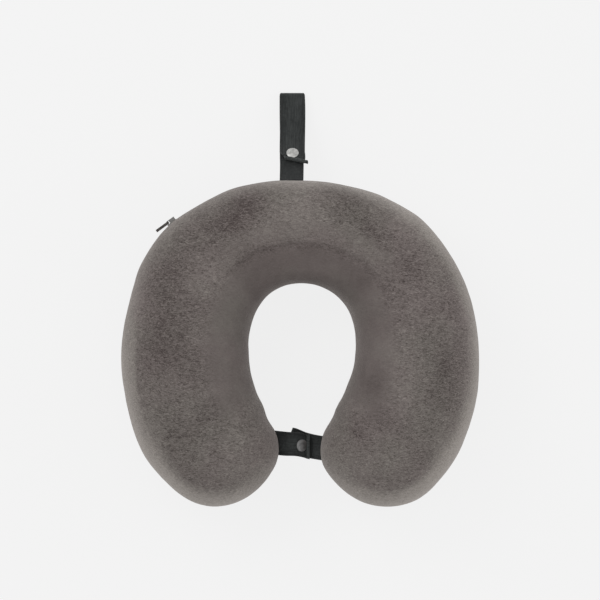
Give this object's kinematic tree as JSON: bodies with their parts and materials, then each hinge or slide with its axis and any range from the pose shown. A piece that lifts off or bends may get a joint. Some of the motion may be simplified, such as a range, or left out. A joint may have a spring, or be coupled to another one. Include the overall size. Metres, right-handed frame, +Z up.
{
  "type": "neck pillow",
  "caption": "U-shaped foam travel neck pillow in a zipped plush cover, with snap-closed webbing tabs across the opening and a hanging strap with a snap.",
  "frame": {"origin": "on the ground under the middle of the whole object's box, strap included, with the pillow lying on its flat underside", "axes": "+Z up, +Y towards the back of the neck and the hanging strap, -Y towards the opening, +X to the side that carries the lower front tab"},
  "size_m": [0.301, 0.3474, 0.1051],
  "materials": {
    "memory_foam": "open-cell viscoelastic foam, matte",
    "liner_knit": "thin white knit, matte",
    "plush_velour": "short-pile taupe-grey velour with a soft sheen and brushed nap",
    "zip_tape": "woven polyester tape",
    "zip_coil": "nylon coil, satin",
    "zip_metal": "die-cast zinc, dull grey",
    "zip_pull_metal": "black painted metal, semi-gloss",
    "webbing": "ribbed charcoal webbing, matte",
    "snap_nickel": "satin nickel plate",
    "snap_gunmetal": "satin gunmetal plate",
    "spring_brass": "drawn brass wire"
  },
  "bodies": {
    "pillow": {"foam_core": "memory_foam", "foam_liner": "liner_knit", "cover_top": "plush_velour", "cover_bottom": "plush_velour", "zip_tape_upper": "zip_tape", "zip_tape_lower": "zip_tape", "zip_coil_upper": "zip_coil", "zip_coil_lower": "zip_coil", "zip_top_stops": "zip_metal", "zip_bottom_stop": "zip_metal"},
    "slider": {"zip_slider": "zip_metal"},
    "pull": {"zip_pull": "zip_pull_metal"},
    "loop_base": {"loop_strap_base": "webbing", "loop_strap_bend": "webbing", "loop_snap_stud": "snap_nickel", "loop_snap_post": "snap_nickel"},
    "loop_flap": {"loop_strap_flap": "webbing", "loop_snap_cap": "snap_nickel", "loop_snap_socket": "snap_nickel", "loop_snap_spring": "spring_brass"},
    "upper_tab": {"left_tab": "webbing", "front_snap_cap": "snap_gunmetal", "front_snap_socket": "snap_gunmetal", "front_snap_spring": "spring_brass"},
    "lower_tab": {"right_tab": "webbing", "front_snap_stud": "snap_gunmetal", "front_snap_post": "snap_gunmetal"}
  },
  "joints": [
    {"name": "zip_slide", "type": "hinge", "parent": "pillow", "child": "slider", "pos_m": [0, -0.0817, 0.05], "axis": [0, 0, -1], "range_deg": [0, 59], "deforming": ["zip_coil_upper", "zip_coil_lower", "zip_tape_upper", "zip_tape_lower"]},
    {"name": "pull_swing", "type": "hinge", "parent": "slider", "child": "pull", "pos_m": [-0.11046, 0.06516, 0.05], "axis": [0, 0, -1], "range_deg": [0, 175]},
    {"name": "loop_lift", "type": "hinge", "parent": "pillow", "child": "loop_base", "pos_m": [-0.0063, 0.1013, 0.0445], "axis": [1, 0, 0], "range_deg": [0, 120]},
    {"name": "loop_unfold", "type": "hinge", "parent": "loop_base", "child": "loop_flap", "pos_m": [-0.0063, 0.17103, 0.00303], "axis": [-1, 0, 0], "range_deg": [0, 150], "deforming": ["loop_strap_bend"]},
    {"name": "upper_tab_lift", "type": "hinge", "parent": "pillow", "child": "upper_tab", "pos_m": [-0.01687, -0.11993, 0.05], "axis": [-0.1219, -0.9925, 0], "range_deg": [0, 45]},
    {"name": "lower_tab_drop", "type": "hinge", "parent": "pillow", "child": "lower_tab", "pos_m": [0.01687, -0.12407, 0.05], "axis": [-0.1219, -0.9925, 0], "range_deg": [0, 30], "stiffness_Nm_per_rad": 0.01}
  ]
}
